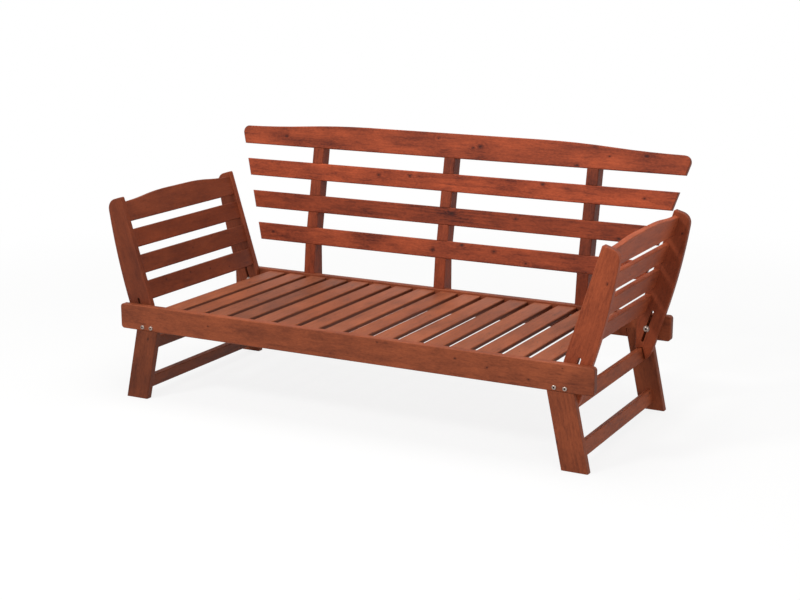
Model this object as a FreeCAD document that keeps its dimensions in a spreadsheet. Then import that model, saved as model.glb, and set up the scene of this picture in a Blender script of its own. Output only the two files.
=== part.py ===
"""Hardwood two-in-one garden bench and daybed with fold-flat slatted arms.

Millimetres, +Z up. The origin lies on the floor below the middle of the
bench's outer box. X runs along the seat, -Y is the front.
"""
import FreeCAD, Part
import math
import os

import Sketcher

V = FreeCAD.Vector

SIZES = {
    # Seat frame: two long rails on edge, slats between them
    "seat_length": 1500,
    "seat_depth": 632,
    "seat_top": 286,
    "seat_centre_y": -51.9,
    "rail_height": 75,
    "rail_thickness": 22,
    "rail_corner": 10,
    "edge_chamfer": 2,
    "seat_slat_count": 16,
    "seat_slat_width": 59,
    "seat_slat_thickness": 12,
    "seat_slat_drop": 6,
    "seat_slat_margin": 134.5,
    "ledger_width": 20,
    "ledger_height": 20,
    "ledger_margin": 150,
    # Legs, half-lapped behind the rails, and the pieces between them
    "leg_width": 73,
    "leg_splay": 12.2,
    "leg_inset": 47.4,
    "leg_lap": 26,
    "leg_lap_depth": 11,
    "lap_clearance": 0.3,
    "cross_rail_drop": 80,
    "stretcher_z": 40,
    "cross_height": 39.5,
    "cross_thickness": 18,
    # Back: three raked uprights with four slats let into their fronts
    "back_rake": 11.2,
    "upright_width": 37,
    "upright_inset": 281,
    "upright_setback": 17,
    "upright_knee_step": 10,
    "upright_knee_rise": 93,
    "upright_base_depth": 55.5,
    "upright_top_depth": 42,
    "upright_tail": 66,
    "upright_height": 372,
    "upright_bend": 90,
    "back_slat_height": 54.5,
    "back_slat_pitch": 103.2,
    "back_slat_start": 1.5,
    "back_slat_thickness": 18.5,
    "back_slat_inset": 93,
    "back_flare": 16.65,
    "back_top_height": 57.5,
    "back_crown_rise": 18,
    "back_crown_half": 290,
    "back_top_corner": 20,
    # Arms: each a pair of stiles and four slats, on slotted pivots
    "pivot_inset": 66,
    "pivot_drop": 39,
    "arm_lean": 17,
    "arm_clearance": 0.5,
    "stile_thickness": 20,
    "stile_height": 358.5,
    "stile_inner": 39,
    "stile_outer": 37,
    "stile_top_outer": 12.5,
    "stile_bow_start": 60,
    "stile_top_round": 31,
    "stile_corner": 5,
    "stile_foot_corner": 10,
    "stile_heel_z": 25,
    "shoulder_length": 21,
    "seat_clearance": 0.3,
    "slot_width": 8,
    "slot_down": 38.3,
    "slot_up": 53.8,
    "arm_slat_thickness": 16,
    "arm_slat_face": 34,
    "arm_slat_height": 56,
    "arm_slat_start": 44.5,
    "arm_slat_pitch": 79.5,
    "arm_top_height": 61,
    "arm_crown_rise": 12.8,
    "arm_crown_half": 55,
    # Hex-socket bolts
    "pivot_bolt": 7.4,
    "pivot_bore": 7.55,
    "pivot_grip": 15,
    "pivot_head": 18.5,
    "pivot_head_height": 5,
    "leg_bolt": 6,
    "leg_bolt_rise": 10.5,
    "leg_bolt_spacing": 30,
    "leg_bolt_grip": 9,
    "bolt_head": 13,
    "bolt_head_height": 3.5,
    "bolt_socket": 5,
    "bolt_socket_depth": 2.4,
    "bolt_clearance": 0.2,
    "upright_bolt_low": 22,
    "upright_bolt_spacing": 30,
    "upright_bolt_grip": 15,
}

ARM_SLATS = 4
BACK_SLATS = 4

HALF = "(Sizes.seat_length / 2)"
FACE = "(Sizes.seat_depth / 2)"
INNER = "(Sizes.seat_depth / 2 - Sizes.rail_thickness)"
RAIL_BOTTOM = "(Sizes.seat_top - Sizes.rail_height)"
LAP_TOP = f"({RAIL_BOTTOM} + Sizes.leg_lap)"
LEG_HALF = "(Sizes.leg_width / 2 / cos(Sizes.leg_splay))"
PIVOT_X = f"({HALF} - Sizes.pivot_inset)"
PIVOT_Z = "(Sizes.seat_top - Sizes.pivot_drop)"
SLAT_TOP = "(Sizes.seat_top - Sizes.seat_slat_drop)"
CROSS_RAIL_Z = f"({PIVOT_Z} - Sizes.cross_rail_drop)"
LEG_BOLT_Z = f"({RAIL_BOTTOM} + Sizes.leg_bolt_rise)"
UPRIGHT_FRONT = f"({FACE} - Sizes.upright_setback)"
UPRIGHT_REAR = f"({UPRIGHT_FRONT} + Sizes.upright_base_depth)"
KNEE_Y = f"({UPRIGHT_FRONT} + Sizes.upright_knee_step)"
KNEE_Z = "(Sizes.seat_top + Sizes.upright_knee_rise)"
STILE_FACE = f"({INNER} - Sizes.arm_clearance)"
STILE_BACK = f"({STILE_FACE} - Sizes.stile_thickness)"

doc = FreeCAD.newDocument("GardenDaybed")
sheet = doc.addObject("Spreadsheet::Sheet", "Sizes")
for row, (alias, size) in enumerate(SIZES.items(), start=1):
    sheet.set(f"A{row}", alias)
    sheet.set(f"B{row}", str(size))
    sheet.setAlias(f"B{row}", alias)
doc.recompute()


def value(expression):
    """Number that an expression of the sheet's sizes has now."""
    return float(sheet.evalExpression(str(expression)))


def leg_x(z):
    """Expression for the leg's centre line at a height, on the +X side."""
    return f"({HALF} - Sizes.leg_inset - ({z}) * tan(Sizes.leg_splay))"


def signed(side, expression):
    """Expression on the +X side, or mirrored to the other side."""
    return f"{side} * ({expression})"


def new_body(label, y="0", x="0", z="0"):
    """Empty body, placed at a point counted from the seat's middle."""
    body = doc.addObject("PartDesign::Body", label)
    body.Label = label
    body.setExpression(".Placement.Base.x", x)
    body.setExpression(".Placement.Base.y", f"Sizes.seat_centre_y + {y}")
    body.setExpression(".Placement.Base.z", z)
    return body


def turn(body, axis, angle):
    """Turn a body about an axis through its own origin."""
    place = body.Placement
    place.Rotation = FreeCAD.Rotation(axis, 1)
    body.Placement = place
    body.setExpression(".Placement.Rotation.Angle", f"({angle}) * 1deg")


def origin_feature(body, role):
    """Plane or axis of the body's own origin."""
    return next(f for f in body.Origin.OriginFeatures if f.Role == role)


def new_sketch(body, plane, offset="0", across="0", up="0"):
    """Sketch on one of the body's planes, moved along its normal."""
    name = f"{body.Name}_sketch{len(body.Group)}"
    sketch = body.newObject("Sketcher::SketchObject", name)
    sketch.AttachmentSupport = [(origin_feature(body, plane), "")]
    sketch.MapMode = "FlatFace"
    sketch.setExpression(".AttachmentOffset.Base.x", across)
    sketch.setExpression(".AttachmentOffset.Base.y", up)
    sketch.setExpression(".AttachmentOffset.Base.z", offset)
    return sketch


def bind(sketch, kind, expression, *where):
    """Add one dimension to a sketch and bind it to the sheet."""
    index = sketch.addConstraint(Sketcher.Constraint(kind, *where, value(expression)))
    sketch.setExpression(f"Constraints[{index}]", expression)


def arc_between(start, end, radius, bulge):
    """Arc through two points; a positive bulge lies left of the way."""
    chord = end - start
    half = chord.Length / 2
    side = V(-chord.y, chord.x, 0).normalize() * bulge
    centre = start + chord / 2 - side * math.sqrt(radius**2 - half**2)
    first, last = (end, start) if bulge > 0 else (start, end)
    angles = [math.atan2(p.y - centre.y, p.x - centre.x) for p in (first, last)]
    if angles[1] < angles[0]:
        angles[1] += 2 * math.pi
    return Part.ArcOfCircle(Part.Circle(centre, V(0, 0, 1), radius), *angles)


def outline(sketch, points, arcs=None):
    """Closed outline through bound points.

    points holds a pair of expressions per corner. arcs gives, for the run
    that starts at a corner, its radius as an expression and its bulge.
    """
    arcs = arcs or {}
    at = [V(value(p[0]), value(p[1]), 0) for p in points]
    count = len(points)
    base = sketch.GeometryCount
    for i in range(count):
        start, end = at[i], at[(i + 1) % count]
        if i in arcs:
            radius, bulge = arcs[i]
            sketch.addGeometry(arc_between(start, end, value(radius), bulge), False)
        else:
            sketch.addGeometry(Part.LineSegment(start, end), False)
    flipped = {i for i, (_, bulge) in arcs.items() if bulge > 0}
    for i in range(count):
        following = (i + 1) % count
        end_of = 1 if i in flipped else 2
        start_of = 2 if following in flipped else 1
        sketch.addConstraint(
            Sketcher.Constraint("Coincident", base + i, end_of, base + following, start_of)
        )
    for i, (across, up) in enumerate(points):
        start_of = 2 if i in flipped else 1
        bind(sketch, "DistanceX", across, -1, 1, base + i, start_of)
        bind(sketch, "DistanceY", up, -1, 1, base + i, start_of)
    for i, (radius, _) in arcs.items():
        bind(sketch, "Radius", radius, base + i)


def circle(sketch, across, up, diameter):
    """Circle with a bound centre and diameter."""
    centre = V(value(across), value(up), 0)
    index = sketch.addGeometry(Part.Circle(centre, V(0, 0, 1), value(diameter) / 2), False)
    bind(sketch, "DistanceX", across, -1, 1, index, 3)
    bind(sketch, "DistanceY", up, -1, 1, index, 3)
    bind(sketch, "Diameter", diameter, index)


def box_points(left, bottom, right, top):
    """Four corners of an upright rectangle."""
    return [(left, bottom), (right, bottom), (right, top), (left, top)]


def pad(body, sketch, length, midplane=False, reverse=False):
    """Thicken a sketch along its normal."""
    feature = body.newObject("PartDesign::Pad", f"{body.Name}_pad")
    feature.Profile = sketch
    feature.Midplane = midplane
    feature.Reversed = reverse
    feature.setExpression("Length", length)
    doc.recompute()
    return feature


def pocket(body, sketch, length):
    """Cut a sketch into the body, against the sketch's normal."""
    before = body.Shape.Volume
    feature = body.newObject("PartDesign::Pocket", f"{body.Name}_pocket{len(body.Group)}")
    feature.Profile = sketch
    feature.setExpression("Length", length)
    doc.recompute()
    if before - body.Shape.Volume < 1:
        raise ValueError(f"{feature.Name} cuts nothing")
    return feature


def dress(body, kind, setting, size, wanted):
    """Fillet or chamfer the edges of the tip that a test picks."""
    base = body.Tip
    names = [f"Edge{i}" for i, edge in enumerate(base.Shape.Edges, start=1) if wanted(edge)]
    feature = body.newObject(f"PartDesign::{kind}", f"{body.Name}_{kind.lower()}{len(body.Group)}")
    feature.Base = (base, names)
    feature.setExpression(setting, size)
    doc.recompute()


def fillet(body, radius, wanted):
    """Round the edges that a test picks."""
    dress(body, "Fillet", "Radius", radius, wanted)


def ease(body, wanted):
    """Take the sharp edge off the board edges that a test picks."""
    dress(body, "Chamfer", "Size", "Sizes.edge_chamfer", wanted)


def along(axis):
    """Test for edges whose ends differ in one coordinate only."""
    others = [i for i in range(3) if i != axis]

    def test(edge):
        box = edge.BoundBox
        spans = (box.XLength, box.YLength, box.ZLength)
        return all(spans[i] < 1e-4 for i in others)

    return test


def on_faces(axis):
    """Test for edges that lie in a plane across one axis."""

    def test(edge):
        box = edge.BoundBox
        return (box.XLength, box.YLength, box.ZLength)[axis] < 1e-4

    return test


def corner_near(axis, across, up):
    """Test for the edge along an axis that passes through a point."""
    others = [i for i in range(3) if i != axis]
    target = (value(across), value(up))
    parallel = along(axis)

    def test(edge):
        point = edge.Vertexes[0].Point
        close = all(abs(point[i] - aim) < 0.05 for i, aim in zip(others, target))
        return parallel(edge) and close

    return test


def leg_outline(side, low, high):
    """Corners of a splayed leg between two heights."""
    return [
        (signed(side, f"{leg_x(low)} + {LEG_HALF}"), low),
        (signed(side, f"{leg_x(high)} + {LEG_HALF}"), high),
        (signed(side, f"{leg_x(high)} - {LEG_HALF}"), high),
        (signed(side, f"{leg_x(low)} - {LEG_HALF}"), low),
    ]


def leg_bolt_points():
    """Both leg bolts on the +X side."""
    middle = leg_x(LEG_BOLT_Z)
    return [f"{middle} {sign} Sizes.leg_bolt_spacing / 2" for sign in "-+"]


def seat_rail(label, front):
    """Long rail with leg housings, bolt holes and pivot bores."""
    base = f"-{INNER}" if front else FACE
    body = new_body(label, base)
    sketch = new_sketch(body, "XZ_Plane")
    outline(sketch, box_points(f"-{HALF}", RAIL_BOTTOM, HALF, "Sizes.seat_top"))
    pad(body, sketch, "Sizes.rail_thickness")
    fillet(body, "Sizes.rail_corner", along(1))
    ease(body, on_faces(1))
    inner_start = "0" if front else "(Sizes.rail_thickness - Sizes.leg_lap_depth)"
    outer_start = "Sizes.leg_lap_depth" if front else "0"
    housing = new_sketch(body, "XZ_Plane", f"{inner_start} + Sizes.leg_lap_depth")
    for side in (1, -1):
        below = f"({RAIL_BOTTOM} - Sizes.leg_lap)"
        above = f"({LAP_TOP} + Sizes.lap_clearance)"
        outline(housing, leg_outline(side, below, above))
    pocket(body, housing, "Sizes.leg_lap_depth")
    face_layer = "(Sizes.rail_thickness - Sizes.leg_lap_depth)"
    holes = new_sketch(body, "XZ_Plane", f"{outer_start} + {face_layer}")
    for side in (1, -1):
        for x in leg_bolt_points():
            circle(holes, signed(side, x), LEG_BOLT_Z, "Sizes.leg_bolt + 2 * Sizes.bolt_clearance")
    pocket(body, holes, face_layer)
    depth = "(Sizes.pivot_grip + 1)"
    bores = new_sketch(body, "XZ_Plane", depth if front else "Sizes.rail_thickness")
    for side in (1, -1):
        circle(bores, signed(side, PIVOT_X), PIVOT_Z, "Sizes.pivot_bore")
    pocket(body, bores, depth)
    if not front:
        upright_holes = new_sketch(body, "XZ_Plane", "Sizes.upright_bolt_grip + 1")
        for x in upright_positions():
            for z in upright_bolt_heights():
                circle(upright_holes, x, z, "Sizes.leg_bolt + 2 * Sizes.bolt_clearance")
        pocket(body, upright_holes, "Sizes.upright_bolt_grip + 1")
    return body


def leg(label, side, front):
    """Splayed leg, its upper end halved to lie behind the rail."""
    base = f"-{INNER}" if front else FACE
    body = new_body(label, base)
    sketch = new_sketch(body, "XZ_Plane")
    outline(sketch, leg_outline(side, "0", LAP_TOP))
    pad(body, sketch, "Sizes.rail_thickness")
    slanted = on_faces(1)
    level = along(0)
    ease(body, lambda edge: slanted(edge) and not level(edge))
    face_layer = "(Sizes.rail_thickness - Sizes.leg_lap_depth)"
    shoulder = new_sketch(body, "XZ_Plane", "Sizes.rail_thickness" if front else face_layer)
    middle = leg_x(RAIL_BOTTOM)
    corners = box_points(
        f"{middle} - Sizes.leg_width", RAIL_BOTTOM,
        f"{middle} + Sizes.leg_width", f"{LAP_TOP} + Sizes.leg_lap",
    )
    outline(shoulder, [(signed(side, x), z) for x, z in corners])
    pocket(body, shoulder, face_layer)
    start = "Sizes.leg_lap_depth" if front else f"({face_layer} + Sizes.leg_bolt_grip)"
    holes = new_sketch(body, "XZ_Plane", start)
    for x in leg_bolt_points():
        circle(holes, signed(side, x), LEG_BOLT_Z, "Sizes.leg_bolt + 2 * Sizes.bolt_clearance")
    pocket(body, holes, "Sizes.leg_bolt_grip")
    return body


def cross_member(label, side, height):
    """Rail between a front and a rear leg, tilted with them."""
    body = new_body(label, x=signed(side, leg_x(height)), z=height)
    turn(body, V(0, 1, 0), f"{-side} * Sizes.leg_splay")
    sketch = new_sketch(body, "XZ_Plane")
    half_t = "Sizes.cross_thickness / 2"
    half_h = "Sizes.cross_height / 2"
    outline(sketch, box_points(f"-{half_t}", f"-{half_h}", half_t, half_h))
    pad(body, sketch, f"2 * {INNER}", midplane=True)
    ease(body, along(1))
    return body


def seat_slat(label, index):
    """Slat from rail to rail with eased long edges."""
    pitch = (
        "((Sizes.seat_length - 2 * Sizes.seat_slat_margin - Sizes.seat_slat_width)"
        " / (Sizes.seat_slat_count - 1))"
    )
    body = new_body(label, x=f"({index} - (Sizes.seat_slat_count - 1) / 2) * {pitch}", z=SLAT_TOP)
    sketch = new_sketch(body, "XZ_Plane")
    half = "Sizes.seat_slat_width / 2"
    outline(sketch, box_points(f"-{half}", "-Sizes.seat_slat_thickness", half, "0"))
    pad(body, sketch, f"2 * {INNER}", midplane=True)
    ease(body, along(1))
    return body


def ledger(label, front):
    """Strip under the slats' ends, along a rail's inner face."""
    base = f"-{INNER} + Sizes.ledger_width" if front else INNER
    body = new_body(label, base, z=f"{SLAT_TOP} - Sizes.seat_slat_thickness")
    sketch = new_sketch(body, "XZ_Plane")
    reach = f"({HALF} - Sizes.ledger_margin)"
    outline(sketch, box_points(f"-{reach}", "-Sizes.ledger_height", reach, "0"))
    pad(body, sketch, "Sizes.ledger_width")
    return body


def upright_positions():
    """X of the three uprights."""
    reach = f"({HALF} - Sizes.upright_inset)"
    return [f"-{reach}", "0", reach]


def upright_bolt_heights():
    """Heights of the two bolts through each upright's tail."""
    low = f"({RAIL_BOTTOM} + Sizes.upright_bolt_low)"
    return [low, f"({low} + Sizes.upright_bolt_spacing)"]


def back_slat_low(index):
    """Lower edge of a back slat, up the rake from the uprights' knee."""
    return f"(Sizes.back_slat_start + {index} * Sizes.back_slat_pitch)"


def back_upright(label, x):
    """Raked post, notched over the rear rail and for the slats."""
    body = new_body(label, x=x)
    sketch = new_sketch(body, "YZ_Plane")
    top_z = f"({KNEE_Z} + Sizes.upright_height * cos(Sizes.back_rake))"
    top_front = f"({KNEE_Y} + Sizes.upright_height * sin(Sizes.back_rake))"
    points = [
        (UPRIGHT_FRONT, "Sizes.seat_top"),
        (FACE, "Sizes.seat_top"),
        (FACE, "Sizes.seat_top - Sizes.upright_tail"),
        (UPRIGHT_REAR, "Sizes.seat_top - Sizes.upright_tail"),
        (UPRIGHT_REAR, KNEE_Z),
        (
            f"{top_front} + Sizes.upright_top_depth",
            f"{top_z} - Sizes.upright_top_depth * tan(Sizes.back_rake)",
        ),
        (top_front, top_z),
        (KNEE_Y, KNEE_Z),
    ]
    outline(sketch, points)
    pad(body, sketch, "Sizes.upright_width", midplane=True)
    fillet(body, "Sizes.upright_bend", corner_near(0, UPRIGHT_REAR, KNEE_Z))
    flat = on_faces(0)
    level = along(1)
    rail_top = value("Sizes.seat_top") - 0.01
    top = value(top_z) - value("Sizes.upright_top_depth")
    ease(
        body,
        lambda edge: flat(edge) and not level(edge) and rail_top < edge.BoundBox.ZMin < top,
    )
    cuts = new_sketch(body, "YZ_Plane", "Sizes.upright_width", KNEE_Y, KNEE_Z)
    cuts.setExpression(".AttachmentOffset.Rotation.Angle", "-Sizes.back_rake * 1deg")
    for index in range(BACK_SLATS):
        low = back_slat_low(index)
        tall = "Sizes.back_slat_height" if index < BACK_SLATS - 1 else "2 * Sizes.back_top_height"
        outline(cuts, box_points("-5", low, "Sizes.back_slat_thickness", f"{low} + {tall}"))
    pocket(body, cuts, "2 * Sizes.upright_width")
    holes = new_sketch(body, "XZ_Plane", f"-{FACE}")
    for z in upright_bolt_heights():
        circle(holes, "0", z, "Sizes.leg_bolt + 2 * Sizes.bolt_clearance")
    pocket(body, holes, "Sizes.upright_base_depth")
    return body


def back_end(up):
    """Half length of the back at a height up the rake."""
    rise = f"(({up}) - Sizes.back_slat_start)"
    return f"({HALF} - Sizes.back_slat_inset + {rise} * tan(Sizes.back_flare))"


def s_curve_radius(run, rise):
    """Radius of two equal arcs that lead smoothly from level to level."""
    return f"((({run})^2 + ({rise})^2) / (4 * ({rise})))"


def back_slat(label, index):
    """Back slat with flared ends; the top one is arched."""
    body = new_body(label, KNEE_Y, z=KNEE_Z)
    turn(body, V(1, 0, 0), "-Sizes.back_rake")
    low = back_slat_low(index)
    sketch = new_sketch(body, "XZ_Plane")
    if index < BACK_SLATS - 1:
        high = f"({low} + Sizes.back_slat_height)"
        foot, head = back_end(low), back_end(high)
        outline(sketch, [(f"-{foot}", low), (foot, low), (head, high), (f"-{head}", high)])
        pad(body, sketch, "Sizes.back_slat_thickness", reverse=True)
        ease(body, on_faces(1))
        return body
    high = f"({low} + Sizes.back_top_height)"
    end = back_end(high)
    crown = f"({high} + Sizes.back_crown_rise)"
    run = f"({end} - Sizes.back_crown_half)"
    radius = s_curve_radius(run, "Sizes.back_crown_rise")
    middle = f"(({end} + Sizes.back_crown_half) / 2)"
    rise = f"({high} + Sizes.back_crown_rise / 2)"
    points = [
        (f"-{back_end(low)}", low),
        (back_end(low), low),
        (end, high),
        (middle, rise),
        ("Sizes.back_crown_half", crown),
        ("-Sizes.back_crown_half", crown),
        (f"-{middle}", rise),
        (f"-{end}", high),
    ]
    outline(sketch, points, {2: (radius, 1), 3: (radius, -1), 5: (radius, -1), 6: (radius, 1)})
    pad(body, sketch, "Sizes.back_slat_thickness", reverse=True)
    for side in (1, -1):
        fillet(body, "Sizes.back_top_corner", corner_near(1, signed(side, end), high))
    ease(body, on_faces(1))
    return body


def cross_corner():
    """Outer top corner of the cross-rail, as (outward, up) in the arm's frame."""
    half_t = "Sizes.cross_thickness / 2"
    half_h = "Sizes.cross_height / 2"
    tilt = "Sizes.leg_splay"
    dx = f"({leg_x(CROSS_RAIL_Z)} + {half_t} * cos({tilt}) - {half_h} * sin({tilt}) - {PIVOT_X})"
    dz = f"({CROSS_RAIL_Z} + {half_t} * sin({tilt}) + {half_h} * cos({tilt}) - {PIVOT_Z})"
    lean = "Sizes.arm_lean"
    return f"({dx} * cos({lean}) - {dz} * sin({lean}))", f"({dx} * sin({lean}) + {dz} * cos({lean}))"


def arm_body(label, side, y="0"):
    """Body in an arm's frame: pivot at its origin, Z up the leaning arm."""
    body = new_body(label, y, signed(side, PIVOT_X), PIVOT_Z)
    turn(body, V(0, 1, 0), f"{side} * Sizes.arm_lean")
    return body


def arm_stile(label, side, front):
    """Slotted stile with a bowed outer edge and a shouldered foot."""
    body = arm_body(label, side, f"-{STILE_BACK}" if front else STILE_FACE)
    tilt = "(Sizes.leg_splay + Sizes.arm_lean)"
    out, up = cross_corner()
    out = f"({out} - Sizes.seat_clearance * sin({tilt}))"
    up = f"({up} + Sizes.seat_clearance * cos({tilt}))"
    low = f"({up} + (Sizes.stile_outer - {out}) * tan({tilt}))"
    tip = (
        f"{out} - Sizes.shoulder_length * cos({tilt})",
        f"{up} - Sizes.shoulder_length * sin({tilt})",
    )
    points = [
        ("Sizes.stile_top_outer", "Sizes.stile_height"),
        ("Sizes.stile_outer", "Sizes.stile_bow_start"),
        ("Sizes.stile_outer", low),
        tip,
        ("-Sizes.stile_inner", "Sizes.stile_heel_z"),
        ("-Sizes.stile_inner", "Sizes.stile_height"),
    ]
    run = "(Sizes.stile_height - Sizes.stile_bow_start)"
    taper = "(Sizes.stile_outer - Sizes.stile_top_outer)"
    bow = f"(({run}^2 + {taper}^2) / (2 * {taper}))"
    sketch = new_sketch(body, "XZ_Plane")
    outline(sketch, [(signed(side, x), z) for x, z in points], {0: (bow, side)})
    pad(body, sketch, "Sizes.stile_thickness")
    corners = [
        ("Sizes.stile_top_round", points[0]),
        ("Sizes.stile_corner", points[5]),
        ("Sizes.stile_foot_corner", points[4]),
        ("Sizes.stile_foot_corner", points[2]),
        ("Sizes.stile_corner", tip),
    ]
    for radius, (across, height) in corners:
        fillet(body, radius, corner_near(1, signed(side, across), height))
    ease(body, on_faces(1))
    slot = new_sketch(body, "XZ_Plane", "Sizes.stile_thickness")
    slot_outline(slot, "Sizes.slot_down", "Sizes.slot_up", "Sizes.slot_width")
    pocket(body, slot, "Sizes.stile_thickness")
    return body


def slot_outline(sketch, down, up, width):
    """Round-ended upright slot about the sketch's origin."""
    half = value(width) / 2
    top, bottom = value(up), -value(down)
    sketch.addGeometry(Part.LineSegment(V(-half, bottom, 0), V(-half, top, 0)), False)
    sketch.addGeometry(Part.LineSegment(V(half, top, 0), V(half, bottom, 0)), False)
    over = Part.Circle(V(0, top, 0), V(0, 0, 1), half)
    under = Part.Circle(V(0, bottom, 0), V(0, 0, 1), half)
    sketch.addGeometry(Part.ArcOfCircle(over, 0, math.pi), False)
    sketch.addGeometry(Part.ArcOfCircle(under, math.pi, 2 * math.pi), False)
    for one, one_end, other, other_end in ((0, 2, 2, 2), (1, 1, 2, 1), (1, 2, 3, 2), (0, 1, 3, 1)):
        sketch.addConstraint(Sketcher.Constraint("Tangent", one, one_end, other, other_end))
    sketch.addConstraint(Sketcher.Constraint("Vertical", 0))
    bind(sketch, "Diameter", width, 2)
    for index, height in ((2, up), (3, f"-{down}")):
        bind(sketch, "DistanceX", "0", -1, 1, index, 3)
        bind(sketch, "DistanceY", height, -1, 1, index, 3)


def arm_slat(label, side, index):
    """Slat between an arm's stiles; the top one is arched."""
    body = arm_body(label, side)
    near = "-Sizes.arm_slat_face" if side > 0 else "Sizes.arm_slat_face - Sizes.arm_slat_thickness"
    sketch = new_sketch(body, "YZ_Plane", near)
    low = f"(Sizes.arm_slat_start + {index} * Sizes.arm_slat_pitch)"
    end = STILE_BACK
    if index < ARM_SLATS - 1:
        outline(sketch, box_points(f"-{end}", low, end, f"{low} + Sizes.arm_slat_height"))
    else:
        high = f"({low} + Sizes.arm_top_height)"
        crown = f"({high} + Sizes.arm_crown_rise)"
        middle = f"(({end} + Sizes.arm_crown_half) / 2)"
        rise = f"({high} + Sizes.arm_crown_rise / 2)"
        radius = s_curve_radius(f"{end} - Sizes.arm_crown_half", "Sizes.arm_crown_rise")
        points = [
            (f"-{end}", low),
            (end, low),
            (end, high),
            (middle, rise),
            ("Sizes.arm_crown_half", crown),
            ("-Sizes.arm_crown_half", crown),
            (f"-{middle}", rise),
            (f"-{end}", high),
        ]
        outline(sketch, points, {2: (radius, 1), 3: (radius, -1), 5: (radius, -1), 6: (radius, 1)})
    pad(body, sketch, "Sizes.arm_slat_thickness")
    level = on_faces(0)
    ends = along(2)
    ease(body, lambda edge: level(edge) and not ends(edge))
    return body


def bolt(body, x, y, z, outward, head, head_height, shank, length):
    """Flat hex-socket bolt along Y; outward is the head's way, +1 or -1."""
    sketch = new_sketch(body, "YZ_Plane", x, y, z)
    points = [
        (f"{outward} * {head_height}", "0"),
        (f"{outward} * {head_height}", f"{head} / 2"),
        ("0", f"{head} / 2"),
        ("0", f"{shank} / 2"),
        (f"{-outward} * ({length})", f"{shank} / 2"),
        (f"{-outward} * ({length})", "0"),
    ]
    outline(sketch, points)
    feature = body.newObject("PartDesign::Revolution", f"{body.Name}_turned")
    feature.Profile = sketch
    feature.ReferenceAxis = (sketch, ["H_Axis"])
    feature.Angle = 360
    doc.recompute()
    depth = "Sizes.bolt_socket_depth"
    bottom = f"({y}) + {outward} * ({head_height})"
    start = f"-({bottom})" if outward < 0 else f"-({bottom}) + {depth}"
    socket = new_sketch(body, "XZ_Plane", start, x, z)
    across = "Sizes.bolt_socket / sqrt(3)"
    corners = [(f"{across} * cos({60 * i})", f"{across} * sin({60 * i})") for i in range(6)]
    outline(socket, corners)
    pocket(body, socket, depth)


def pattern(body, kind, **settings):
    """Repeat everything in the body so far."""
    feature = body.newObject(f"PartDesign::{kind}", f"{body.Name}_{kind.lower()}{len(body.Group)}")
    feature.TransformMode = "Whole shape"
    for name, (setting, bound) in settings.items():
        if bound:
            feature.setExpression(name, setting)
        else:
            setattr(feature, name, setting)
    body.Tip = feature
    doc.recompute()


def row(body, axis, spacing, count=2):
    """Repeat along an axis of the body."""
    direction = (origin_feature(body, axis), [""])
    length = f"{count - 1} * ({spacing})"
    pattern(
        body, "LinearPattern",
        Direction=(direction, False), Length=(length, True), Occurrences=(count, False),
    )


def mirror(body, plane):
    """Repeat on the other side of a plane of the body."""
    pattern(body, "Mirrored", MirrorPlane=((origin_feature(body, plane), [""]), False))


def leg_bolts(label):
    """Two bolts through each rail into each leg."""
    body = new_body(label)
    body.AllowCompound = True
    grip = "Sizes.rail_thickness - Sizes.leg_lap_depth + Sizes.leg_bolt_grip - 1"
    bolt(
        body, leg_bolt_points()[0], f"-{FACE}", LEG_BOLT_Z, -1,
        "Sizes.bolt_head", "Sizes.bolt_head_height", "Sizes.leg_bolt", grip,
    )
    row(body, "X_Axis", "Sizes.leg_bolt_spacing")
    mirror(body, "YZ_Plane")
    mirror(body, "XZ_Plane")
    return body


def upright_bolts(label):
    """Two bolts through each upright's tail into the rear rail."""
    body = new_body(label)
    body.AllowCompound = True
    grip = f"{UPRIGHT_REAR} - {FACE} + Sizes.upright_bolt_grip"
    bolt(
        body, upright_positions()[0], UPRIGHT_REAR, upright_bolt_heights()[0], 1,
        "Sizes.bolt_head", "Sizes.bolt_head_height", "Sizes.leg_bolt", grip,
    )
    row(body, "Z_Axis", "Sizes.upright_bolt_spacing")
    row(body, "X_Axis", f"{HALF} - Sizes.upright_inset", 3)
    return body


def pivot_bolts(label, side):
    """Front and rear pivot of one arm, each screwed into a rail."""
    body = new_body(label)
    body.AllowCompound = True
    under_head = f"({STILE_BACK} - Sizes.seat_clearance)"
    grip = "Sizes.seat_clearance + Sizes.stile_thickness + Sizes.arm_clearance + Sizes.pivot_grip"
    bolt(
        body, signed(side, PIVOT_X), f"-{under_head}", PIVOT_Z, 1,
        "Sizes.pivot_head", "Sizes.pivot_head_height", "Sizes.pivot_bolt", grip,
    )
    mirror(body, "XZ_Plane")
    return body


nodes = [
    seat_rail("front_seat_rail", True),
    seat_rail("rear_seat_rail", False),
    ledger("front_slat_ledger", True),
    ledger("rear_slat_ledger", False),
]
for number in range(round(value("Sizes.seat_slat_count"))):
    nodes.append(seat_slat(f"seat_slat_{number + 1:02d}", number))
for name, side in (("left", -1), ("right", 1)):
    nodes.append(leg(f"{name}_front_leg", side, True))
    nodes.append(leg(f"{name}_rear_leg", side, False))
    nodes.append(cross_member(f"{name}_cross_rail", side, CROSS_RAIL_Z))
    nodes.append(cross_member(f"{name}_stretcher", side, "Sizes.stretcher_z"))
for name, place in zip(("left", "middle", "right"), upright_positions()):
    nodes.append(back_upright(f"{name}_back_upright", place))
for number in range(BACK_SLATS):
    nodes.append(back_slat(f"back_slat_{number + 1}", number))
for name, side in (("left", -1), ("right", 1)):
    nodes.append(arm_stile(f"{name}_arm_front_stile", side, True))
    nodes.append(arm_stile(f"{name}_arm_rear_stile", side, False))
    for number in range(ARM_SLATS):
        nodes.append(arm_slat(f"{name}_arm_slat_{number + 1}", side, number))
    nodes.append(pivot_bolts(f"{name}_pivot_bolts", side))
nodes.append(leg_bolts("leg_bolts"))
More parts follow.
